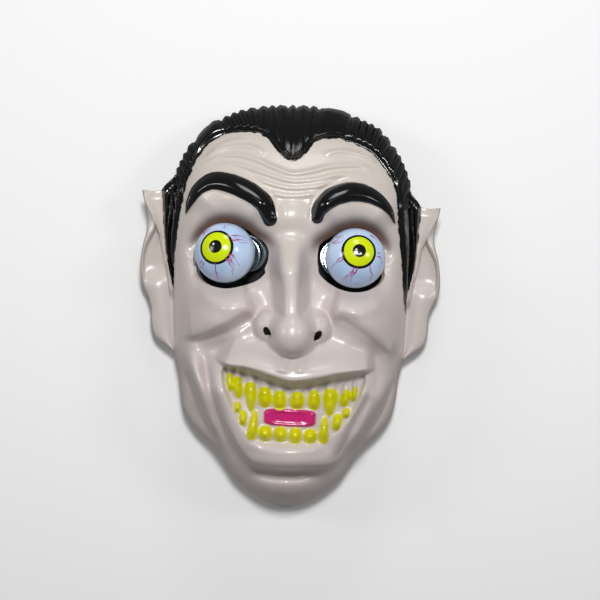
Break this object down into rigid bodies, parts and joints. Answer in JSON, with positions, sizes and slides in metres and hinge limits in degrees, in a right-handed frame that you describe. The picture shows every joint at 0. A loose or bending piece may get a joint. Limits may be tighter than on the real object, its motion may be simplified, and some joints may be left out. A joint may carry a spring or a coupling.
{
  "type": "horror mask",
  "caption": "Rigid full-face vampire mask with swept-back hair, pointed ears and a fanged grin, its bulging eyeballs carried on coil springs that let them pop out.",
  "frame": {"origin": "middle of the bounding box at the rear rim, which is what the mask rests on", "axes": "+X across the face to the viewer's right, +Y along the face from chin to hair, +Z out of the face towards the viewer"},
  "size_m": [0.2076, 0.2798, 0.0964],
  "materials": {
    "moulded_face": "glossy moulded plastic, painted black on the hair and brows, yellow on the teeth and magenta on the tongue",
    "eye_cup": "black moulded plastic",
    "eyeball": "glossy pale plastic with a printed iris and veins",
    "spring": "bright flat spring wire"
  },
  "bodies": {
    "mask": {"mask_shell": "moulded_face", "eye_cup_left": "eye_cup", "eye_cup_right": "eye_cup", "spring_left": "spring", "spring_right": "spring"},
    "left_eyeball": {"eyeball_left": "eyeball"},
    "right_eyeball": {"eyeball_right": "eyeball"}
  },
  "joints": [
    {"name": "left_eye_pop", "type": "slide", "parent": "mask", "child": "left_eyeball", "axis": [0, 0, 1], "range_m": [0, 0.1], "stiffness_N_per_m": 0.8, "deforming": ["spring_left"]},
    {"name": "right_eye_pop", "type": "slide", "parent": "mask", "child": "right_eyeball", "axis": [0, 0, 1], "range_m": [0, 0.1], "stiffness_N_per_m": 0.8, "deforming": ["spring_right"]}
  ]
}
